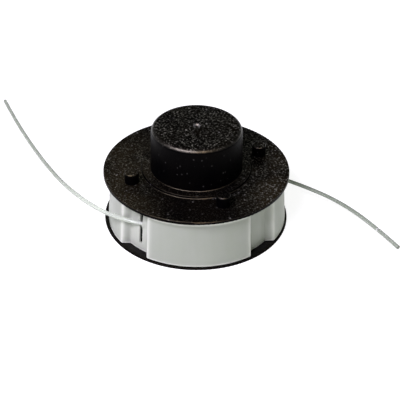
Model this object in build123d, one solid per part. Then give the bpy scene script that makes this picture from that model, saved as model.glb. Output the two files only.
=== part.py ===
from build123d import *
import math
import os

# Trimmer line spool with a closed bump knob, two wound lines and a corrugated
# retaining band between its flanges. Millimetres, +Z up along the spool's axis,
# origin at the centre of the lower flange's underside. Bearings run from the
# front (-Y) towards the right (+X).

# ---- line ----
line_d = 2.0

# ---- spool body, one moulding ----
flange_r = 46.3
lower_flange_t = 1.0
upper_flange_z = 26.8  # underside of the upper flange
upper_flange_t = 1.7
drum_r = 28.0
bore_r = 25.6  # plain bore that slides over the head's hub
bore_top_z = 26.4
divider_r = 37.6
divider_z = 13.4
divider_t = 1.2
collar_top_r = 27.1
collar_foot_r = 27.5
collar_h = 1.25
knob_base_r = 22.9
knob_top_r = 22.4
knob_edge_z = 52.5  # flat of the knob's face, at its rounded edge
knob_crown = 0.5  # rise of the face from that edge to the centre
knob_edge_round = 3.0
cavity_base_r = 20.6
cavity_top_r = 20.1
cavity_ceiling_z = 50.2
spigot_r = 6.0  # spring spigot under the knob's ceiling
spigot_bore_r = 4.2
spigot_foot_z = 38.0
gate_r = 1.7  # moulding gate, a cone sunk in the middle of the knob's face
gate_foot_r = 0.9
gate_depth = 0.8
peg_circle_r = 34.07
peg_r = 3.5
peg_h = 5.7
peg_first_deg = 22.5
peg_round = 0.7
anchor_d = 2.6  # holes that take the inner ends of the lines

# ---- retaining band, one flexible moulding ----
band_z0 = 1.2
band_z1 = 26.5
band_wall = 1.05
band_raised_r = 45.3  # at its lower edge
band_floor_r = 41.8  # at its lower edge
band_draft_deg = 3.6
recess_first_deg = 47.5
recess_mouth_half_deg = 11.05
recess_floor_half_deg = 7.5
band_outer_round = 0.6
band_inner_round = 0.6
slit_deg = -40.1
slit_w = 1.9
slit_z0 = 5.2
slit_z1 = 23.0

# ---- wound line, the outer shape of the turns in each chamber ----
winding_in_r = 28.05
winding_r = 36.0
winding_gap = 0.15

# ---- free line ends: route points, outermost turn to cut tip ----
upper_route = [
    (-3.26, -37.26, 16.40),
    (-28.34, -31.55, 16.40),
    (-47.19, -21.02, 16.39),
    (-64.62, -1.80, 16.29),
    (-77.60, 19.23, 16.11),
    (-88.67, 40.89, 15.86),
    (-99.06, 63.33, 15.51),
    (-108.20, 85.62, 15.10),
]
lower_route = [
    (2.61, 37.31, 7.70),
    (22.11, 33.37, 7.70),
    (38.32, 25.53, 7.70),
    (56.83, 14.20, 7.66),
    (72.91, 1.45, 7.58),
    (87.66, -17.55, 7.41),
    (98.03, -35.95, 7.20),
]

os.makedirs("parts", exist_ok=True)


def at(r, deg):
    a = math.radians(deg)
    return (r * math.sin(a), -r * math.cos(a))


# ---------------------------------------------------------------- spool body
upper_top_z = upper_flange_z + upper_flange_t
collar_z = upper_top_z + collar_h

with BuildPart() as spool:
    with BuildSketch(Plane.XZ) as section:
        with BuildLine():
            ThreePointArc(
                (0, knob_edge_z + knob_crown),
                (knob_top_r / 2, knob_edge_z + knob_crown * 0.75),
                (knob_top_r, knob_edge_z),
            )
            Polyline(
                (knob_top_r, knob_edge_z),
                (knob_base_r, collar_z),
                (collar_top_r, collar_z),
                (collar_foot_r, upper_top_z),
                (flange_r, upper_top_z),
                (flange_r, upper_flange_z),
                (drum_r, upper_flange_z),
                (drum_r, divider_z + divider_t),
                (divider_r, divider_z + divider_t),
                (divider_r, divider_z),
                (drum_r, divider_z),
                (drum_r, lower_flange_t),
                (flange_r, lower_flange_t),
                (flange_r, 0),
                (bore_r, 0),
                (bore_r, bore_top_z),
                (cavity_base_r, bore_top_z),
                (cavity_top_r, cavity_ceiling_z),
                (spigot_r, cavity_ceiling_z),
                (spigot_r, spigot_foot_z),
                (spigot_bore_r, spigot_foot_z),
                (spigot_bore_r, cavity_ceiling_z),
                (0, cavity_ceiling_z),
                (0, knob_edge_z + knob_crown),
            )
        make_face()

        def corner(r, z):
            return min(
                section.vertices(), key=lambda v: (v.X - r) ** 2 + (v.Y - z) ** 2
            )

        for r, z, radius in [
            (knob_top_r, knob_edge_z, knob_edge_round),
            (knob_base_r, collar_z, 0.5),
            (collar_top_r, collar_z, 0.3),
            (collar_foot_r, upper_top_z, 0.4),
            (flange_r, upper_top_z, 0.4),
            (flange_r, upper_flange_z, 0.3),
            (divider_r, divider_z + divider_t, 0.4),
            (divider_r, divider_z, 0.4),
            (flange_r, lower_flange_t, 0.3),
            (flange_r, 0, 0.3),
            (cavity_base_r, bore_top_z, 0.6),
            (cavity_top_r, cavity_ceiling_z, 1.2),
            (spigot_r, spigot_foot_z, 0.5),
        ]:
            fillet(corner(r, z), radius)
    revolve(axis=Axis.Z)

    # the moulding gate, a small conical dimple in the middle of the knob's face
    slope = (gate_r - gate_foot_r) / gate_depth
    with Locations((0, 0, knob_edge_z + knob_crown - gate_depth)):
        Cone(
            gate_foot_r,
            gate_foot_r + slope * (gate_depth + 0.5),
            gate_depth + 0.5,
            align=(Align.CENTER, Align.CENTER, Align.MIN),
            mode=Mode.SUBTRACT,
        )
    gate_edges = [
        e
        for e in spool.edges().filter_by(GeomType.CIRCLE)
        if e.radius < gate_r + 0.1 and e.center().Z > cavity_ceiling_z + 0.5
    ]
    fillet(gate_edges, 0.2)

    # four pegs on the upper flange
    for k in range(4):
        x, y = at(peg_circle_r, peg_first_deg + 90 * k)
        with Locations((x, y, upper_top_z - 0.4)):
            Cylinder(peg_r, peg_h + 0.4, align=(Align.CENTER, Align.CENTER, Align.MIN))
    peg_tops = [
        e
        for e in spool.edges().filter_by(GeomType.CIRCLE)
        if abs(e.radius - peg_r) < 1e-3
        and abs(e.center().Z - (upper_top_z + peg_h)) < 1e-3
    ]
    fillet(peg_tops, peg_round)

    # a hole through the drum in each chamber, for the inner end of each line
    for deg, z in [
        (90, (lower_flange_t + divider_z) / 2),
        (270, (divider_z + divider_t + upper_flange_z) / 2),
    ]:
        x, y = at(drum_r + 1.0, deg)
        hole = Plane(origin=(x, y, z), z_dir=(-x, -y, 0))
        with BuildSketch(hole):
            Circle(anchor_d / 2)
        extrude(amount=6.0, mode=Mode.SUBTRACT)

export_step(spool.part, "parts/spool_body.step")

# ------------------------------------------------------------ retaining band
def band_outline():
    raised, floor_r = band_raised_r, band_floor_r
    with BuildSketch() as sk:
        with BuildLine():
            for k in range(4):
                c = recess_first_deg + 90 * k
                nxt = c + 90
                a = at(raised, c - recess_mouth_half_deg)
                b = at(floor_r, c - recess_floor_half_deg)
                m = at(floor_r, c)
                d = at(floor_r, c + recess_floor_half_deg)
                e = at(raised, c + recess_mouth_half_deg)
                top = at(raised, c + 45)
                f = at(raised, nxt - recess_mouth_half_deg)
                Line(a, b)
                ThreePointArc(b, m, d)
                Line(d, e)
                ThreePointArc(e, top, f)
        make_face()
        outer = [v for v in sk.vertices() if math.hypot(v.X, v.Y) > (raised + floor_r) / 2]
        fillet(outer, band_outer_round)
        inner = [
            v for v in sk.vertices() if abs(math.hypot(v.X, v.Y) - floor_r) < 0.01
        ]
        fillet(inner, band_inner_round)
    return sk.sketch


outline = band_outline()
hollow = offset(outline, amount=-band_wall, kind=Kind.ARC)
band_h = band_z1 - band_z0
skin = extrude(outline, amount=band_h, taper=band_draft_deg)
void = extrude(hollow, amount=band_h, taper=band_draft_deg)
band = skin - void
band = Pos(0, 0, band_z0) * band
for k in range(2):
    deg = slit_deg + 180 * k
    x, y = at(band_floor_r - 1.0, deg)
    cutter = Pos(x, y, (slit_z0 + slit_z1) / 2) * Rot(0, 0, deg) * Box(
        slit_w, 6.0, slit_z1 - slit_z0
    )
    band = band - cutter
band_solid = band.solids()[0]
export_step(band_solid, "parts/retaining_band.step")

# ---------------------------------------------------------------- wound line
def winding(z0, z1):
    with BuildPart() as w:
        with BuildSketch(Plane.XZ) as s:
            with Locations(((winding_in_r + winding_r) / 2, (z0 + z1) / 2)):
                Rectangle(winding_r - winding_in_r, z1 - z0)
            outer = [v for v in s.vertices() if v.X > winding_r - 0.01]
            fillet(outer, line_d / 2)
        revolve(axis=Axis.Z)
    return w.part


lower_w = winding(lower_flange_t + winding_gap, divider_z - winding_gap)
upper_w = winding(divider_z + divider_t + winding_gap, upper_flange_z - winding_gap)
export_step(lower_w, "parts/lower_line_winding.step")
export_step(upper_w, "parts/upper_line_winding.step")

# ------------------------------------------------------------ free line ends
def line_end(points, name):
    pts = [Vector(*p) for p in points]
    runs = [(b - a).length for a, b in zip(pts, pts[1:])]
    radii = []
    for i in range(1, len(pts) - 1):
        turn = (pts[i] - pts[i - 1]).get_angle(pts[i + 1] - pts[i])
        radii.append(
            0.45 * min(runs[i - 1], runs[i]) / math.tan(math.radians(turn / 2))
        )
    path = FilletPolyline(*pts, radius=radii)
    start = path @ 0
    profile = Plane(origin=start, z_dir=path % 0) * Circle(line_d / 2)
    tube = sweep(profile, path=path)
    solid = tube.solids()[0]
    expected = math.pi * line_d**2 / 4 * path.length
    print(
        name,
        "runs",
        [round(r, 1) for r in runs],
        "radii",
        [round(r, 1) for r in radii],
        "length",
        round(path.length, 1),
        "volume ratio",
        round(solid.volume / expected, 4),
    )
    export_step(solid, f"parts/{name}.step")


line_end(upper_route, "upper_line_end")
line_end(lower_route, "lower_line_end")
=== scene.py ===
import math

import bmesh
import bpy
from mathutils import Matrix, Vector


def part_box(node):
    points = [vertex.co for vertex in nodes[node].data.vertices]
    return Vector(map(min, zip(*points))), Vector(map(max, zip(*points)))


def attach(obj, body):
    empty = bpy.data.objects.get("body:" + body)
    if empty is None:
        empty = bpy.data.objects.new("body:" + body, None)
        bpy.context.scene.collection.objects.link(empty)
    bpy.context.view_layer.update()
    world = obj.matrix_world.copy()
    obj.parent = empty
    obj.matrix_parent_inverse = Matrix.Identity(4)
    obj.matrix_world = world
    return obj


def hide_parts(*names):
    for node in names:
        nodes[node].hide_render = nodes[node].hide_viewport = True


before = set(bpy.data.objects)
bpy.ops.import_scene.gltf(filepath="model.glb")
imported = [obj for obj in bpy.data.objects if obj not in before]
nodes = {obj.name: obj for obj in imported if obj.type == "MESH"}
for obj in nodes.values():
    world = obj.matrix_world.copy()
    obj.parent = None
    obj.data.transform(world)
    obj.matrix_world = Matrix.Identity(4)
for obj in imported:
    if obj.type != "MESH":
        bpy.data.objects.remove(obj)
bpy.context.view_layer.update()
MM = 0.001
scene = bpy.context.scene


def link(obj):
    scene.collection.objects.link(obj)
    return obj


def at(r, deg):
    a = math.radians(deg)
    return Vector((r * math.sin(a), -r * math.cos(a)))


# ------------------------------------------------------------------- camera
cam_data = bpy.data.cameras.new("camera")
cam_data.sensor_width = 36.0
cam_data.sensor_fit = "HORIZONTAL"
cam_data.lens = 36.0 * 1189.5 / 400.0
cam_data.shift_x = (200.0 - 196.17) / 400.0
cam_data.shift_y = (189.77 - 200.0) / 400.0
cam_data.clip_start = 0.01
cam_data.clip_end = 20.0
cam = link(bpy.data.objects.new("camera", cam_data))
elev, roll = math.radians(34.757), math.radians(-0.6)
back = Vector((0, -math.cos(elev), math.sin(elev)))
right = Vector((1, 0, 0))
up = Vector((0, math.sin(elev), math.cos(elev)))
c_right = math.cos(roll) * right - math.sin(roll) * up
c_up = math.sin(roll) * right + math.cos(roll) * up
cam_m = Matrix((c_right, c_up, back)).transposed().to_4x4()
cam_m.translation = Vector((0, 0, 0.015)) + 0.600 * back
cam.matrix_world = cam_m
scene.camera = cam


# ---------------------------------------------------------------- materials
class Nodes:
    """Small helper for building a node material."""

    def __init__(self, name):
        self.mat = bpy.data.materials.new(name)
        self.mat.use_nodes = True
        self.tree = self.mat.node_tree
        self.bsdf = self.tree.nodes["Principled BSDF"]
        self.out = self.tree.nodes["Material Output"]

    def add(self, kind, **settings):
        n = self.tree.nodes.new(kind)
        for k, v in settings.items():
            setattr(n, k, v)
        return n

    def wire(self, a, b):
        self.tree.links.new(a, b)

    def set(self, node, **values):
        for k, v in values.items():
            node.inputs[k.replace("_", " ")].default_value = v

    def coords(self, which="Object", scale=(1, 1, 1), turn=(0, 0, 0)):
        tc = self.add("ShaderNodeTexCoord")
        mp = self.add("ShaderNodeMapping")
        mp.inputs["Scale"].default_value = scale
        mp.inputs["Rotation"].default_value = turn
        self.wire(tc.outputs[which], mp.inputs["Vector"])
        return mp.outputs["Vector"]

    def noise(self, vec, scale, detail=2.0, rough=0.5, lac=2.0):
        n = self.add("ShaderNodeTexNoise")
        self.set(n, Scale=scale, Detail=detail, Roughness=rough, Lacunarity=lac)
        self.wire(vec, n.inputs["Vector"])
        return n.outputs["Fac"]

    def ramp(self, fac, stops, interp="LINEAR"):
        r = self.add("ShaderNodeValToRGB")
        r.color_ramp.interpolation = interp
        els = r.color_ramp.elements
        while len(els) < len(stops):
            els.new(0.5)
        for e, (p, c) in zip(els, stops):
            e.position = p
            e.color = c if len(c) == 4 else (*c, 1)
        self.wire(fac, r.inputs["Fac"])
        return r.outputs["Color"]

    def range(self, fac, a, b, lo, hi):
        m = self.add("ShaderNodeMapRange")
        for k, v in (("From Min", a), ("From Max", b), ("To Min", lo), ("To Max", hi)):
            m.inputs[k].default_value = v
        self.wire(fac, m.inputs["Value"])
        return m.outputs["Result"]

    def math(self, op, a, b):
        m = self.add("ShaderNodeMath", operation=op)
        for i, x in enumerate((a, b)):
            if isinstance(x, (int, float)):
                m.inputs[i].default_value = x
            else:
                self.wire(x, m.inputs[i])
        return m.outputs[0]

    def mix(self, fac, a, b):
        m = self.add("ShaderNodeMix", data_type="RGBA")
        for k, x in ((0, fac), (6, a), (7, b)):
            if hasattr(x, "links") or hasattr(x, "is_linked"):
                self.wire(x, m.inputs[k])
            elif k == 0:
                m.inputs[k].default_value = x
            else:
                m.inputs[k].default_value = (*x, 1)
        return m.outputs[2]

    def bump(self, height, strength, distance, normal=None):
        b = self.add("ShaderNodeBump")
        b.inputs["Strength"].default_value = strength
        b.inputs["Distance"].default_value = distance
        self.wire(height, b.inputs["Height"])
        if normal is not None:
            self.wire(normal, b.inputs["Normal"])
        return b.outputs["Normal"]


def black_plastic():
    m = Nodes("spool_black_plastic")
    v = m.coords()
    # the grain is turned off the axes, so no face cuts it along its own lattice
    w = m.coords(turn=(0.61, 0.43, 0.87))
    # how far a face looks up: the tops carry the mould texture, the drawn walls are plain
    tc = m.add("ShaderNodeTexCoord")
    axis = m.add("ShaderNodeSeparateXYZ")
    m.wire(tc.outputs["Normal"], axis.inputs[0])
    place = m.add("ShaderNodeSeparateXYZ")
    m.wire(v, place.inputs[0])
    up = m.range(axis.outputs["Z"], 0.45, 0.97, 0.0, 1.0)
    # the upper faces are spark-eroded, the lower flange is left smooth
    high = m.range(place.outputs["Z"], 0.020, 0.026, 0.08, 1.0)
    up = m.math("MULTIPLY", up, high)
    cloud = m.noise(v, 60, 4, 0.6)
    tone = m.ramp(
        cloud,
        [
            (0.30, (0.0005, 0.0005, 0.0009)),
            (0.52, (0.0009, 0.0008, 0.0011)),
            (0.75, (0.0018, 0.0015, 0.0014)),
        ],
    )
    # spark-eroded mould texture: fine pits, and pale crests that are partly wear and partly painted glints
    fine = m.noise(w, 1900, 2, 0.6)
    mid = m.noise(w, 1020, 1, 0.5)
    # the knob's face and the flange's handled side are worn coarser than the rest
    knob = m.range(place.outputs["Z"], 0.036, 0.046, 0.0, 1.0)
    handled = m.range(place.outputs["X"], 0.014, 0.036, 0.0, 0.75)
    coarse = m.range(m.math("MAXIMUM", knob, handled), 0.0, 1.0, 0.50, 0.76)
    grain = m.add("ShaderNodeMix", data_type="FLOAT")
    for socket, source in ((0, coarse), (2, fine), (3, mid)):
        m.wire(source, grain.inputs[socket])
    grain = grain.outputs[0]
    # the grain's contrast is raised on the flange's left and right and on the knob, which strengthens the painted
    # glints and sheen there
    sides = m.range(m.math("ABSOLUTE", place.outputs["X"], 0.0), 0.010, 0.034, 0.0, 1.0)
    spread = m.math("MAXIMUM", m.range(sides, 0.0, 1.0, 1.0, 1.45), m.range(knob, 0.0, 1.0, 0.0, 1.15))
    grain = m.math("ADD", m.math("MULTIPLY", m.math("SUBTRACT", grain, 0.5), spread), 0.5)
    crest = m.ramp(
        grain,
        [
            (0.42, (0.0004, 0.0004, 0.0003)),
            (0.52, (0.0020, 0.0020, 0.0015)),
            (0.59, (0.0100, 0.0099, 0.0080)),
            (0.66, (0.0480, 0.0475, 0.0390)),
            (0.73, (0.2000, 0.1980, 0.1700)),
        ],
    )
    # the pale crests and the brown tint are patchy, partly wear, and are painted stronger on the flange's left and
    # right and weaker at its front and back: painted sheen on the sides, painted shade at the front and back
    side_sheen = m.range(m.math("ABSOLUTE", place.outputs["X"], 0.0), 0.014, 0.036, 0.15, 1.0)
    side_sheen = m.math("MULTIPLY", side_sheen, m.range(place.outputs["Y"], 0.0, 0.030, 1.0, 0.35))
    side_sheen = m.math("MAXIMUM", side_sheen, knob)
    sheen_and_wear = m.math("MULTIPLY", side_sheen, m.range(m.noise(v, 75, 2, 0.5), 0.34, 0.62, 0.35, 1.0))
    brown = m.math("MULTIPLY", m.range(m.noise(v, 48, 2, 0.5), 0.36, 0.56, 0.2, 0.9), side_sheen)
    brown = m.math("MULTIPLY", brown, m.range(knob, 0.0, 1.0, 1.0, 0.15))
    pits = m.range(grain, 0.46, 0.62, 1.0, 0.0)
    # painted glints: the pale crests are painted into the colour of the upward faces, most where the side sheen is
    # painted
    col = m.mix(m.math("MULTIPLY", up, sheen_and_wear), tone, crest)
    col = m.mix(m.math("MULTIPLY", m.math("MULTIPLY", brown, pits), up), col, (0.0170, 0.0130, 0.0060))
    # pale dust specks, sparse and small
    stray = m.add("ShaderNodeTexNoise")
    m.set(stray, Scale=2600.0, Detail=1.0)
    m.wire(w, stray.inputs["Vector"])
    bent = m.add("ShaderNodeVectorMath", operation="MULTIPLY_ADD")
    m.wire(stray.outputs["Color"], bent.inputs[0])
    bent.inputs[1].default_value = (0.0007, 0.0007, 0.0007)
    m.wire(w, bent.inputs[2])
    cells = m.add("ShaderNodeTexVoronoi", feature="F1")
    m.set(cells, Scale=430.0, Randomness=1.0)
    m.wire(bent.outputs[0], cells.inputs["Vector"])
    pick = m.add("ShaderNodeSeparateColor")
    m.wire(cells.outputs["Color"], pick.inputs["Color"])
    reach = m.math("DIVIDE", cells.outputs["Distance"], m.range(pick.outputs["Blue"], 0.0, 1.0, 0.40, 1.25))
    dot = m.range(reach, 0.06, 0.22, 1.0, 0.0)
    chosen = m.range(pick.outputs["Red"], 0.50, 0.96, 0.0, 1.0)
    speck = m.math("MULTIPLY", dot, chosen)
    speck = m.math("MULTIPLY", speck, m.range(axis.outputs["Z"], 0.0, 0.9, 0.15, 0.45))
    col = m.mix(speck, col, (0.36, 0.36, 0.33))
    # pale flecks on the upward faces, placed with the side sheen: partly dust, partly painted glints
    flecks = m.add("ShaderNodeTexVoronoi", feature="F1")
    m.set(flecks, Scale=760.0, Randomness=1.0)
    m.wire(v, flecks.inputs["Vector"])
    fleck = m.range(flecks.outputs["Distance"], 0.10, 0.26, 1.0, 0.0)
    sort = m.add("ShaderNodeSeparateColor")
    m.wire(flecks.outputs["Color"], sort.inputs["Color"])
    fleck = m.math("MULTIPLY", fleck, m.range(sort.outputs["Green"], 0.80, 0.98, 0.0, 1.0))
    fleck = m.math("MULTIPLY", fleck, m.math("MULTIPLY", up, sheen_and_wear))
    col = m.mix(m.math("MULTIPLY", fleck, m.range(coarse, 0.52, 0.72, 0.05, 0.85)), col, (0.26, 0.26, 0.225))
    # a film of dust lies on the lower flange
    film = m.math("MULTIPLY", m.range(place.outputs["Z"], 0.0012, 0.0030, 1.0, 0.0), m.range(axis.outputs["Z"], 0.8, 1.0, 0.0, 1.0))
    film = m.math("MULTIPLY", film, m.range(m.noise(v, 300, 3, 0.6), 0.35, 0.65, 0.45, 0.9))
    flat = m.add("ShaderNodeVectorMath", operation="MULTIPLY")
    m.wire(v, flat.inputs[0])
    flat.inputs[1].default_value = (1.0, 1.0, 0.0)
    span = m.add("ShaderNodeVectorMath", operation="LENGTH")
    m.wire(flat.outputs[0], span.inputs[0])
    film = m.math("MULTIPLY", film, m.range(span.outputs["Value"], 0.0442, 0.0451, 1.0, 0.0))
    col = m.mix(film, col, (0.009, 0.009, 0.010))
    # the broken gate is stress-whitened around its slope
    ring = m.math(
        "MULTIPLY",
        m.range(span.outputs["Value"], 0.0008, 0.0011, 0.0, 1.0),
        m.range(span.outputs["Value"], 0.0016, 0.0019, 1.0, 0.0),
    )
    ring = m.math("MULTIPLY", ring, m.range(place.outputs["Z"], 0.0515, 0.0520, 0.0, 1.0))
    scar = m.math("MULTIPLY", ring, m.range(m.noise(v, 2400, 1, 0.5), 0.35, 0.65, 0.25, 1.0))
    col = m.mix(scar, col, (0.20, 0.20, 0.185))
    m.wire(col, m.bsdf.inputs["Base Color"])
    m.wire(m.range(mid, 0.3, 0.7, 0.32, 0.42), m.bsdf.inputs["Roughness"])
    m.wire(m.bump(m.math("MULTIPLY", grain, up), 0.7, 0.00014), m.bsdf.inputs["Normal"])
    # only the crests of the texture shine, and the drawn walls hardly do
    shine = m.ramp(
        grain,
        [
            (0.40, (0.004, 0.004, 0.004)),
            (0.48, (0.022, 0.022, 0.022)),
            (0.54, (0.100, 0.100, 0.100)),
            (0.60, (0.400, 0.400, 0.400)),
            (0.67, (1.000, 1.000, 1.000)),
        ],
    )
    smooth = m.range(axis.outputs["Z"], 0.42, 0.66, 0.02, 1.0)
    smooth = m.math("MULTIPLY", smooth, m.range(place.outputs["Z"], 0.020, 0.026, 0.08, 1.0))
    level = m.mix(up, smooth, shine)
    # the far part of the flange is duller
    far = m.math("MULTIPLY", m.range(place.outputs["Y"], 0.004, 0.036, 0.0, 1.0), m.range(knob, 0.0, 1.0, 1.0, 0.0))
    # and the texture is worn flat in patches, more on the knob than on the flange
    patch = m.range(m.noise(w, 120, 2, 0.5), 0.38, 0.60, 1.0, 0.0)
    patch = m.math("MULTIPLY", patch, m.range(knob, 0.0, 1.0, 0.35, 0.60))
    dull = m.math("MAXIMUM", m.math("MULTIPLY", far, 0.60), m.math("MULTIPLY", patch, up))
    level = m.mix(dull, level, (0.0, 0.0, 0.0))
    m.wire(level, m.bsdf.inputs["Specular IOR Level"])
    # the reflections are tinted warm, and dimmer on the flange's right than on its left: painted shade on the right
    # side; the knob's are warmer
    tint = m.mix(m.range(place.outputs["X"], -0.030, 0.012, 0.0, 1.0), (1.0, 0.88, 0.52), (0.87, 0.80, 0.63))
    m.wire(m.mix(knob, tint, (1.0, 0.95, 0.76)), m.bsdf.inputs["Specular Tint"])
    m.bsdf.inputs["IOR"].default_value = 1.58
    return m.mat


def natural_plastic():
    m = Nodes("band_natural_plastic")
    v = m.coords()
    cloud = m.noise(v, 38, 3, 0.55)
    streak = m.noise(m.coords(scale=(420, 420, 16)), 1.0, 2, 0.5)
    tone = m.ramp(
        cloud,
        [
            (0.28, (0.326, 0.355, 0.300)),
            (0.55, (0.350, 0.377, 0.324)),
            (0.80, (0.374, 0.399, 0.351)),
        ],
    )
    col = m.mix(m.range(streak, 0.45, 0.75, 0.0, 0.22), tone, (0.309, 0.338, 0.284))
    # painted light: the band is painted whiter along its top and bottom lips, against the shade under the flange,
    # at its recess corners, as painted highlights, and in its slit recesses, against their shade
    edge = m.add("ShaderNodeAttribute", attribute_name="edge")
    col = m.mix(m.range(edge.outputs["Fac"], 0.0, 1.0, 0.0, 0.9), col, (0.91, 0.94, 0.85))
    # painted shade: the band is painted darker and greener towards its right side, in patches
    right_painted_shade = m.add("ShaderNodeAttribute", attribute_name="right_painted_shade")
    side_shade = m.math("MULTIPLY", right_painted_shade.outputs["Fac"], m.range(m.noise(v, 90, 3, 0.6), 0.35, 0.65, 0.20, 0.42))
    col = m.mix(side_shade, col, (0.300, 0.348, 0.238))
    m.wire(col, m.bsdf.inputs["Base Color"])
    m.wire(m.range(streak, 0.3, 0.7, 0.34, 0.46), m.bsdf.inputs["Roughness"])
    relief = m.math(
        "ADD",
        m.math("MULTIPLY", m.noise(v, 900, 2, 0.5), 0.35),
        m.math("MULTIPLY", streak, 0.65),
    )
    m.wire(m.bump(relief, 0.10, 0.00010), m.bsdf.inputs["Normal"])
    m.bsdf.inputs["IOR"].default_value = 1.51
    m.bsdf.inputs["Specular IOR Level"].default_value = 0.35
    m.bsdf.inputs["Subsurface Weight"].default_value = 0.30
    m.bsdf.inputs["Subsurface Radius"].default_value = (0.9, 1.0, 0.8)
    m.bsdf.inputs["Subsurface Scale"].default_value = 0.0009
    return m.mat


def clear_line():
    m = Nodes("line_clear_nylon")
    uv = m.coords("UV", (9, 5, 1))
    v = m.coords()
    draw = m.noise(uv, 1.6, 2, 0.5)
    cloud = m.noise(v, 60, 2, 0.5)
    # painted light and shade along the line: the upper line is painted paler near the band, the lower line darker
    # near the spool
    painted_brightness = m.add("ShaderNodeAttribute", attribute_name="painted_brightness")
    tone = m.ramp(
        painted_brightness.outputs["Fac"],
        [
            (0.10, (0.086, 0.100, 0.078)),
            (0.40, (0.318, 0.368, 0.292)),
            (1.00, (0.865, 0.950, 0.815)),
        ],
    )
    veil = m.math("ADD", m.math("MULTIPLY", draw, 0.5), m.math("MULTIPLY", cloud, 0.5))
    col = m.mix(m.range(veil, 0.40, 0.75, 0.0, 0.22), tone, (0.80, 0.82, 0.79))
    # its underside is toned down, because the glowing floor would wash it out
    tc = m.add("ShaderNodeTexCoord")
    axis = m.add("ShaderNodeSeparateXYZ")
    m.wire(tc.outputs["Normal"], axis.inputs[0])
    under = m.range(axis.outputs["Z"], -0.55, 0.45, 1.0, 0.0)
    col = m.mix(m.math("MULTIPLY", under, 0.65), col, (0.235, 0.262, 0.222))
    mark = m.add("ShaderNodeAttribute", attribute_name="mark")
    col = m.mix(mark.outputs["Fac"], col, (0.66, 0.68, 0.65))
    m.wire(col, m.bsdf.inputs["Base Color"])
    m.wire(m.range(draw, 0.3, 0.7, 0.20, 0.30), m.bsdf.inputs["Roughness"])
    m.wire(m.bump(draw, 0.10, 0.00005), m.bsdf.inputs["Normal"])
    m.wire(m.range(mark.outputs["Fac"], 0.0, 1.0, 0.52, 0.0), m.bsdf.inputs["Transmission Weight"])
    m.bsdf.inputs["IOR"].default_value = 1.52
    return m.mat


BLACK, NATURAL, CLEAR = black_plastic(), natural_plastic(), clear_line()


def dress(obj, mat):
    obj.data.materials.clear()
    obj.data.materials.append(mat)


spool = nodes["spool_body"]
dress(spool, BLACK)


def mesh_object(name, verts, faces, mat, smooth=True):
    me = bpy.data.meshes.new(name)
    me.from_pydata([tuple(p) for p in verts], [], faces)
    me.validate()
    me.update()
    bm = bmesh.new()
    bm.from_mesh(me)
    bmesh.ops.recalc_face_normals(bm, faces=bm.faces)
    bm.to_mesh(me)
    bm.free()
    if smooth:
        me.polygons.foreach_set("use_smooth", [True] * len(me.polygons))
    obj = link(bpy.data.objects.new(name, me))
    dress(obj, mat)
    return obj


# ---------------------------------------------------------------- free lines
LINE_D = 2.0
UPPER_ROUTE = [
    (-3.26, -37.26, 16.40),
    (-28.34, -31.55, 16.40),
    (-47.19, -21.02, 16.39),
    (-64.62, -1.80, 16.29),
    (-77.60, 19.23, 16.11),
    (-88.67, 40.89, 15.86),
    (-99.06, 63.33, 15.51),
    (-108.20, 85.62, 15.10),
]
LOWER_ROUTE = [
    (2.61, 37.31, 7.70),
    (22.11, 33.37, 7.70),
    (38.32, 25.53, 7.70),
    (56.83, 14.20, 7.66),
    (72.91, 1.45, 7.58),
    (87.66, -17.55, 7.41),
    (98.03, -35.95, 7.20),
]


def spline_points(name, route):
    """Points along the route's NURBS spline, in metres."""
    cu = bpy.data.curves.new(name, "CURVE")
    cu.dimensions = "3D"
    cu.resolution_u = 20
    sp = cu.splines.new("NURBS")
    sp.points.add(len(route) - 1)
    for p, (x, y, z) in zip(sp.points, route):
        p.co = (x * MM, y * MM, z * MM, 1.0)
    sp.order_u = 3
    sp.use_endpoint_u = True
    ob = link(bpy.data.objects.new(name, cu))
    bpy.context.view_layer.update()
    me = bpy.data.meshes.new_from_object(
        ob.evaluated_get(bpy.context.evaluated_depsgraph_get())
    )
    pts = [v.co.copy() for v in me.vertices]
    bpy.data.meshes.remove(me)
    bpy.data.objects.remove(ob)
    bpy.data.curves.remove(cu)
    return pts


def arc_lengths(pts):
    s = [0.0]
    for a, b in zip(pts, pts[1:]):
        s.append(s[-1] + (b - a).length)
    return s


def along(pts, s, want):
    for i in range(1, len(s)):
        if s[i] >= want or i == len(s) - 1:
            t = (want - s[i - 1]) / max(s[i] - s[i - 1], 1e-12)
            return pts[i - 1].lerp(pts[i], min(max(t, 0.0), 1.0))


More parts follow.
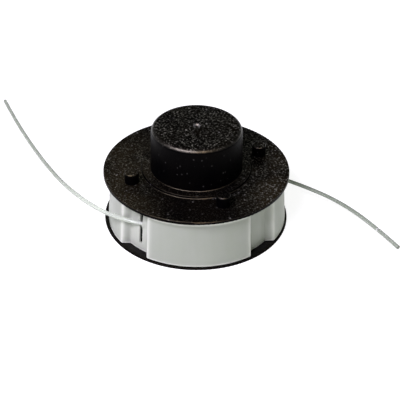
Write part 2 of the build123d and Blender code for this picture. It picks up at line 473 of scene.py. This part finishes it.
def tube(name, pts, radius, sides, mat, shape=None, caps=True):
    """A tube that follows pts; shape(s, total) gives (radius factor, flattening, whitening, painted brightness)
    along it.
    """
    s = arc_lengths(pts)
    total = s[-1]
    tangents = []
    for i in range(len(pts)):
        a, b = pts[max(i - 1, 0)], pts[min(i + 1, len(pts) - 1)]
        tangents.append((b - a).normalized())
    n = Vector((0, 0, 1))
    n = (n - n.dot(tangents[0]) * tangents[0]).normalized()
    rings = []
    for i, (p, t) in enumerate(zip(pts, tangents)):
        n = (n - n.dot(t) * t).normalized()
        rings.append((p, t, n.copy(), n.cross(t), s[i]))
    verts, uvs, marks, painted_brightnesses, faces = [], [], [], [], []
    ends = []
    if caps:
        ends = [0.55, 0.90, 0.985]
    layout = []
    for k, f in enumerate(ends):
        p, t, u, w, d = rings[0]
        layout.append((p - t * 0.0, u, w, d, f, t * (radius * 0.10 * (k / len(ends)))))
    for p, t, u, w, d in rings:
        layout.append((p, u, w, d, 1.0, Vector((0, 0, 0))))
    if caps:
        # the first and last full rings stand back a little, so the cut edge is softly rounded
        p, u, w, d, f, o = layout[len(ends)]
        layout[len(ends)] = (p, u, w, d, f, rings[0][1] * (radius * 0.10))
        p, u, w, d, f, o = layout[-1]
        layout[-1] = (p, u, w, d, f, rings[-1][1] * (-radius * 0.10))
        for k, f in enumerate(reversed(ends)):
            p, t, u, w, d = rings[-1]
            step = (len(ends) - 1 - k) / len(ends)
            layout.append((p, u, w, d, f, t * (-radius * 0.10 * step)))
    for p, u, w, d, f, o in layout:
        fr, flat, white, painted_brightness = shape(d, total) if shape else (1.0, 0.0, 0.0, 0.55)
        for j in range(sides):
            a = 2 * math.pi * j / sides
            ru = radius * fr * f * (1 - flat)
            rw = radius * fr * f * (1 + flat * 0.8)
            verts.append(p + o + u * (math.cos(a) * ru) + w * (math.sin(a) * rw))
            uvs.append((d / total, j / sides))
            marks.append(white)
            painted_brightnesses.append(painted_brightness)
    for i in range(len(layout) - 1):
        for j in range(sides):
            a, b = i * sides + j, i * sides + (j + 1) % sides
            faces.append((a, b, b + sides, a + sides))
    if caps:
        faces.append(tuple(range(sides))[::-1])
        last = (len(layout) - 1) * sides
        faces.append(tuple(range(last, last + sides)))
    me = bpy.data.meshes.new(name)
    me.from_pydata([tuple(v) for v in verts], [], faces)
    me.update()
    layer = me.uv_layers.new(name="UVMap")
    for poly in me.polygons:
        for li, vi in zip(poly.loop_indices, poly.vertices):
            u, v = uvs[vi]
            if v == 0.0 and any(uvs[k][1] > 0.5 for k in poly.vertices) and len(poly.vertices) == 4:
                v = 1.0
            layer.data[li].uv = (u, v)
    bm = bmesh.new()
    bm.from_mesh(me)
    bmesh.ops.recalc_face_normals(bm, faces=bm.faces)
    bm.to_mesh(me)
    bm.free()
    me.polygons.foreach_set("use_smooth", [True] * len(me.polygons))
    me.attributes.new("mark", "FLOAT", "POINT").data.foreach_set("value", marks)
    me.attributes.new("painted_brightness", "FLOAT", "POINT").data.foreach_set("value", painted_brightnesses)
    obj = link(bpy.data.objects.new(name, me))
    dress(obj, mat)
    return obj


def smooth01(x):
    x = min(max(x, 0.0), 1.0)
    return x * x * (3 - 2 * x)


def upper_shape(s, total):
    mm = s / MM
    # painted light: the upper line is painted paler near the band
    return 1.0, 0.0, 0.0, 0.92 - 0.38 * smooth01((mm - 46.0) / 50.0)


def lower_shape(s, total):
    """A crimped nick near the cut tip, and the tip a little flattened past it."""
    mm, back_mm = s / MM, (total - s) / MM
    nick = math.exp(-(((back_mm - 16.2) / 0.45) ** 2))
    tip = min(max((15.8 - back_mm) / 2.0, 0.0), 1.0)
    # painted shade: the lower line is painted darker near the spool
    painted_brightness = 0.36 + 0.15 * smooth01((mm - 60.0) / 62.0)
    return 1.0 - 0.16 * nick, 0.06 * tip, 0.9 * nick, painted_brightness


def densify(pts, s, spots):
    """Adds points read from the same line at the given lengths."""
    want = sorted(set([*s, *spots]))
    return [along(pts, s, w) for w in want]


def free_end(name, node, route, shape, spots_mm):
    pts = spline_points(name + "_route", route)
    s = arc_lengths(pts)
    spots = [s[-1] - b * MM for b in spots_mm]
    pts = densify(pts, s, spots)
    s = arc_lengths(pts)
    obj = tube(name, pts, LINE_D / 2 * MM, 24, CLEAR, shape)
    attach(obj, "band")
    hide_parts(node)
    return obj


upper_end = free_end("upper_free_line", "upper_line_end", UPPER_ROUTE, upper_shape, [])
lower_end = free_end(
    "lower_free_line",
    "lower_line_end",
    LOWER_ROUTE,
    lower_shape,
    [17.7, 17.2, 16.9, 16.65, 16.4, 16.2, 16.0, 15.75, 15.5, 15.2, 14.7, 14.2, 13.7],
)

# --------------------------------------------------------------- wound lines
def winding(name, node, z_lo, z_hi, layers, turns, phase, drop):
    """All the turns of one line, layer on layer, up and down between the flanges."""
    inner, outer = 28.05, 36.0
    r_first, r_last = inner + 1.0, outer - 1.02
    steps = 66
    pts = []
    total = layers * turns
    for i in range(int(total * steps) + 1):
        t = i / steps
        layer = min(int(t / turns), layers - 1)
        f = (t - layer * turns) / turns
        up_going = layer % 2 == 0
        frac = f if up_going else 1 - f
        z = z_lo + 1.0 + (z_hi - z_lo - 2.0) * frac
        # a turn climbs to the next layer over a third of a turn
        blend = 0.0
        gap = (1 - f) * turns
        if gap < 0.35 and layer < layers - 1:
            blend = 0.5 - 0.5 * math.cos(math.pi * (1 - gap / 0.35))
        r = r_first + (r_last - r_first) * (layer + blend) / (layers - 1)
        a = phase + 2 * math.pi * t
        wob = 0.10 * math.sin(3.1 * t + 1.3 * layer) + 0.07 * math.sin(7.7 * t + layer)
        z = min(max(z + wob, z_lo + 1.0), z_hi - 1.0)
        r = min(r + drop * 0.05 * math.sin(5.3 * t + 0.7), r_last)
        pts.append(Vector((r * math.cos(a) * MM, r * math.sin(a) * MM, z * MM)))
    obj = tube(name, pts, LINE_D / 2 * MM, 10, CLEAR)
    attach(obj, "spool")
    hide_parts(node)
    return obj


lo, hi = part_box("lower_line_winding")
lower_winding = winding(
    "lower_wound_line", "lower_line_winding", lo[2] / MM, hi[2] / MM, 4, 5.0, 0.4, 1.0
)
lo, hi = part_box("upper_line_winding")
upper_winding = winding(
    "upper_wound_line", "upper_line_winding", lo[2] / MM, hi[2] / MM, 4, 5.0, 2.1, 1.0
)

# ------------------------------------------------------------ retaining band
BAND_Z0, BAND_Z1, WALL = 1.2, 26.5, 1.05
RAISED_R, FLOOR_R, DRAFT = 45.3, 41.8, math.tan(math.radians(3.6))
FIRST, MOUTH, FLOOR = 47.5, 11.05, 7.5
SLIT_Z0, SLIT_Z1, SLIT_HALF = 5.2, 23.0, 0.95
SLIT_OFF = -40.1 - (FIRST - 90.0)
ROUND_OUT, ROUND_IN = 1.1, 0.6


def rounded_corner(p, d_in, d_out, rho, count):
    turn = math.acos(max(-1.0, min(1.0, d_in.dot(d_out))))
    t = rho * math.tan(turn / 2)
    left = d_in.x * d_out.y - d_in.y * d_out.x > 0
    side = 1.0 if left else -1.0
    start = p - d_in * t
    normal_in = Vector((d_in.y, -d_in.x))
    centre = start - normal_in * rho * side
    out = []
    for k in range(count):
        a = turn * k / (count - 1) * side
        n = Vector(
            (
                normal_in.x * math.cos(a) - normal_in.y * math.sin(a),
                normal_in.x * math.sin(a) + normal_in.y * math.cos(a),
            )
        )
        out.append((centre + n * rho * side, n))
    return out, t


def band_contour(delta):
    """Outer line of the band in plan, counter-clockwise: (point, outward normal, recess index or None, degrees from the recess's centre)."""
    raised, floor_r = RAISED_R - delta, FLOOR_R - delta
    out = []
    for k in range(4):
        c = FIRST + 90 * k
        a0, b0 = at(raised, c - MOUTH), at(floor_r, c - FLOOR)
        b1, a1 = at(floor_r, c + FLOOR), at(raised, c + MOUTH)
        tan = lambda deg: Vector((math.cos(math.radians(deg)), math.sin(math.radians(deg))))
        ramp_in, ramp_out = (b0 - a0).normalized(), (a1 - b1).normalized()
        c1, t1 = rounded_corner(a0, tan(c - MOUTH), ramp_in, ROUND_OUT, 8)
        c2, t2 = rounded_corner(b0, ramp_in, tan(c - FLOOR), ROUND_IN, 6)
        c3, t3 = rounded_corner(b1, tan(c + FLOOR), ramp_out, ROUND_IN, 6)
        c4, t4 = rounded_corner(a1, ramp_out, tan(c + MOUTH), ROUND_OUT, 8)
        d_raised, d_floor = math.degrees(t1 / raised), math.degrees(t2 / floor_r)
        for p, n in c1:
            out.append((p, n, k, -MOUTH))
        n_in = Vector((ramp_in.y, -ramp_in.x))
        p0, p1 = c1[-1][0], c2[0][0]
        for f in (0.33, 0.67):
            out.append((p0.lerp(p1, f), n_in, k, -MOUTH + (MOUTH - FLOOR) * f))
        for p, n in c2:
            out.append((p, n, k, -FLOOR))
        lo_deg, hi_deg = -FLOOR + d_floor, FLOOR - d_floor
        half = math.degrees(SLIT_HALF / floor_r)
        marks = [lo_deg + (SLIT_OFF - half - lo_deg) * i / 22 for i in range(1, 23)]
        marks += [SLIT_OFF - half + 2 * half * i / 3 for i in (1, 2, 3)]
        marks += [SLIT_OFF + half + (hi_deg - SLIT_OFF - half) * i / 9 for i in range(1, 9)]
        for m in marks:
            out.append((at(floor_r, c + m), at(1.0, c + m), k, m))
        for p, n in c3:
            out.append((p, n, k, FLOOR))
        n_out = Vector((ramp_out.y, -ramp_out.x))
        p0, p1 = c3[-1][0], c4[0][0]
        for f in (0.33, 0.67):
            out.append((p0.lerp(p1, f), n_out, k, FLOOR + (MOUTH - FLOOR) * f))
        for p, n in c4:
            out.append((p, n, k, MOUTH))
        span = 90 - 2 * MOUTH - 2 * d_raised
        for i in range(1, 40):
            deg = c + MOUTH + d_raised + span * i / 40
            out.append((at(raised, deg), at(1.0, deg), None, 0.0))
    return out


def lip_push(k, deg, z):
    """How far the line spreads the slit's lips, outward positive, in mm."""
    if k not in (1, 3):
        return 0.0
    z_line = 16.4 if k == 3 else 7.7
    if not SLIT_Z0 < z < SLIT_Z1:
        return 0.0
    d = abs(z - z_line)
    f = 1.0 if d < 0.8 else 1.0 - smooth01((d - 0.8) / 1.5)
    f *= smooth01((z - SLIT_Z0) / 0.8) * smooth01((SLIT_Z1 - z) / 1.5)
    half = math.degrees(SLIT_HALF / FLOOR_R)
    if deg >= SLIT_OFF:
        return 0.64 * f * (1.0 - smooth01((deg - SLIT_OFF - half) / 2.8))
    return -0.60 * f * (1.0 - smooth01((SLIT_OFF - half - deg) / 2.4))


def corner_distance(p, ring):
    """Distance in plan from a point to the nearest outer corner of the band's recesses."""
    raised = max(q.length for q, n, k, deg in ring)
    corners = [at(raised, FIRST + 90 * k + s * MOUTH) for k in range(4) for s in (-1, 1)]
    return min((p - c).length for c in corners)


def band_mesh():
    edge = 0.30
    rounding = [(edge * (1 - math.sin(a)), edge * (1 - math.cos(a))) for a in (0.0, 0.4, 0.8, 1.2)]
    levels = [BAND_Z0 + edge, 2.4, 3.6, 4.6, SLIT_Z0]
    n_slit = 26
    levels += [SLIT_Z0 + (SLIT_Z1 - SLIT_Z0) * i / n_slit for i in range(1, n_slit + 1)]
    levels += [23.5, 23.9, 24.3, 24.7, 25.1, 25.5, BAND_Z1 - edge]
    section = []
    for o, h in rounding:
        section.append((o, BAND_Z0 + h))
    first_outer = len(section)
    section += [(0.0, z) for z in levels]
    for o, h in reversed(rounding):
        section.append((o, BAND_Z1 - h))
    for o, h in rounding:
        section.append((WALL - o, BAND_Z1 - h))
    first_inner = len(section)
    section += [(WALL, z) for z in reversed(levels)]
    for o, h in reversed(rounding):
        section.append((WALL - o, BAND_Z0 + h))
    rows = len(section)
    contours = {}
    verts, band_painted_light, right_shade_weights, cols = [], [], [], 0
    for j, (o, z) in enumerate(section):
        delta = (z - BAND_Z0) * DRAFT
        if delta not in contours:
            contours[delta] = band_contour(delta)
        ring = contours[delta]
        cols = len(ring)
        for p, n, k, deg in ring:
            push = lip_push(k, deg, z) if k is not None else 0.0
            q = p + n * (push - o)
            bearing = math.degrees(math.atan2(q.x, -q.y))
            # the ring is flexible: its left run is drawn in by the line that pulls on its slit
            sunk = 0.95 * math.exp(-(((bearing + 89.0) / 25.0) ** 2)) * (1.0 - 0.35 * z / BAND_Z1)
            q = q * (1.0 - sunk / q.length)
            verts.append((q.x * MM, q.y * MM, z * MM))
            # weight of the painted shade, highest on the band's right side
            right_shade_weights.append(0.5 + 0.5 * math.sin(math.radians(bearing + 5.0)))
            # painted light along the band's top and bottom lips
            lip_painted_light = max(
                math.exp(-(((z - BAND_Z0) / 0.7) ** 2)),
                math.exp(-((max(25.0 - z, 0.0) / 0.75) ** 2)),
            )
            # painted highlight on the outer corners of the recesses
            off = corner_distance(p, ring)
            corner = 0.55 * math.exp(-((off / 1.4) ** 2))
            # the recesses with a slit are painted lighter: painted light against the shade in these recesses
            recess_painted_light = 0.0
            if k in (1, 3):
                recess_painted_light = 0.22 * (1.0 - smooth01((abs(deg) - FLOOR + 0.5) / 1.5))
            band_painted_light.append(max(lip_painted_light, corner, recess_painted_light))
    ring = contours[0.0]
    half = math.degrees(SLIT_HALF / FLOOR_R)
    left_i, right_i = {}, {}
    for i, (p, n, k, deg) in enumerate(ring):
        if k in (1, 3):
            if abs(deg - (SLIT_OFF - half)) < 1e-6:
                left_i[k] = i
            if abs(deg - (SLIT_OFF + half)) < 1e-6:
                right_i[k] = i
    z_index = {round(z, 6): j for j, z in enumerate(levels)}
    j0, j1 = z_index[round(SLIT_Z0, 6)], z_index[round(SLIT_Z1, 6)]
    outer_rows = range(first_outer + j0, first_outer + j1)
    last = len(levels) - 1
    inner_rows = range(first_inner + last - j1, first_inner + last - j0)
    open_rows = set(outer_rows) | set(inner_rows)
    faces = []
    for j in range(rows):
        jn = (j + 1) % rows
        for i in range(cols):
            i_n = (i + 1) % cols
            gap = any(left_i[k] <= i < right_i[k] for k in (1, 3))
            if gap and j in open_rows:
                continue
            faces.append((j * cols + i, j * cols + i_n, jn * cols + i_n, jn * cols + i))
    outer_of = lambda jz: first_outer + jz
    inner_of = lambda jz: first_inner + last - jz
    for k in (1, 3):
        for i in (left_i[k], right_i[k]):
            for jz in range(j0, j1):
                faces.append(
                    (
                        outer_of(jz) * cols + i,
                        outer_of(jz + 1) * cols + i,
                        inner_of(jz + 1) * cols + i,
                        inner_of(jz) * cols + i,
                    )
                )
        for jz in (j0, j1):
            for i in range(left_i[k], right_i[k]):
                faces.append(
                    (
                        outer_of(jz) * cols + i,
                        outer_of(jz) * cols + i + 1,
                        inner_of(jz) * cols + i + 1,
                        inner_of(jz) * cols + i,
                    )
                )
    return verts, faces, band_painted_light, right_shade_weights


verts, faces, band_painted_light, right_shade_weights = band_mesh()
band = mesh_object("corrugated_band", verts, faces, NATURAL)
band.data.attributes.new("edge", "FLOAT", "POINT").data.foreach_set("value", band_painted_light)
band.data.attributes.new("right_painted_shade", "FLOAT", "POINT").data.foreach_set("value", right_shade_weights)
# crisp slit edges, smooth everywhere else
bm = bmesh.new()
bm.from_mesh(band.data)
for e in bm.edges:
    if len(e.link_faces) == 2 and e.calc_face_angle(0.0) > math.radians(50):
        e.smooth = False
bm.to_mesh(band.data)
bm.free()
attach(band, "band")
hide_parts("retaining_band")

# --------------------------------------------------------------------- stage
def floor():
    m = Nodes("pale_floor")
    v = m.coords()
    n = m.noise(v, 6, 3, 0.5)
    m.wire(m.ramp(n, [(0.3, (0.42, 0.42, 0.42)), (0.7, (0.46, 0.46, 0.46))]), m.bsdf.inputs["Base Color"])
    m.bsdf.inputs["Roughness"].default_value = 0.9
    m.bsdf.inputs["Specular IOR Level"].default_value = 0.1
    m.bsdf.inputs["Emission Color"].default_value = (1.0, 1.0, 1.0, 1.0)
    m.bsdf.inputs["Emission Strength"].default_value = 0.89
    me = bpy.data.meshes.new("floor")
    s = 3.0
    me.from_pydata([(-s, -s, 0), (s, -s, 0), (s, s, 0), (-s, s, 0)], [], [(0, 1, 2, 3)])
    obj = link(bpy.data.objects.new("floor", me))
    dress(obj, m.mat)


floor()


def softbox(name, place, aim, size, watts, colour=(1, 1, 1)):
    light = bpy.data.lights.new(name, "AREA")
    light.shape = "RECTANGLE"
    light.size, light.size_y = size
    light.energy = watts
    light.color = colour
    ob = link(bpy.data.objects.new(name, light))
    ob.location = place
    ob.rotation_euler = (Vector(aim) - Vector(place)).to_track_quat("-Z", "Y").to_euler()
    ob.visible_camera = False
    return ob


def from_centre(bearing, elevation, distance):
    """A place seen from the part at a bearing (from the front towards the right) and elevation."""
    b, e = math.radians(bearing), math.radians(elevation)
    return (
        distance * math.cos(e) * math.sin(b),
        -distance * math.cos(e) * math.cos(b),
        0.02 + distance * math.sin(e),
    )


CENTRE = (0, 0, 0.02)
softbox("key_box", from_centre(-42, 52, 1.0), CENTRE, (0.62, 0.22), 12.9, (0.895, 0.820, 1.0))
gleam = softbox("warm_box", from_centre(11, 50, 1.0), CENTRE, (0.40, 0.13), 3.4, (1.0, 0.76, 0.60))
gleam.visible_diffuse = False
softbox("back_box", from_centre(180, 34, 1.4), CENTRE, (1.7, 0.8), 1.42, (0.98, 1.0, 0.93))
softbox("over_box", (0.0, -0.1, 1.25), CENTRE, (1.5, 1.2), 0.6, (0.99, 1.0, 0.99))
fill = softbox("left_box", from_centre(-62, 26, 1.0), CENTRE, (0.5, 0.3), 0.60, (1.0, 1.0, 1.0))
fill.visible_glossy = False
fill = softbox("right_box", from_centre(62, 24, 1.0), CENTRE, (0.5, 0.4), 0.14, (0.78, 1.0, 0.56))
fill.visible_glossy = False
world = bpy.data.worlds.new("studio")
scene.world = world
world.use_nodes = True
bg = world.node_tree.nodes["Background"]
bg.inputs["Color"].default_value = (0.92, 1.0, 0.88, 1)
bg.inputs["Strength"].default_value = 0.03
scene.view_settings.view_transform = "Standard"

bpy.context.view_layer.update()
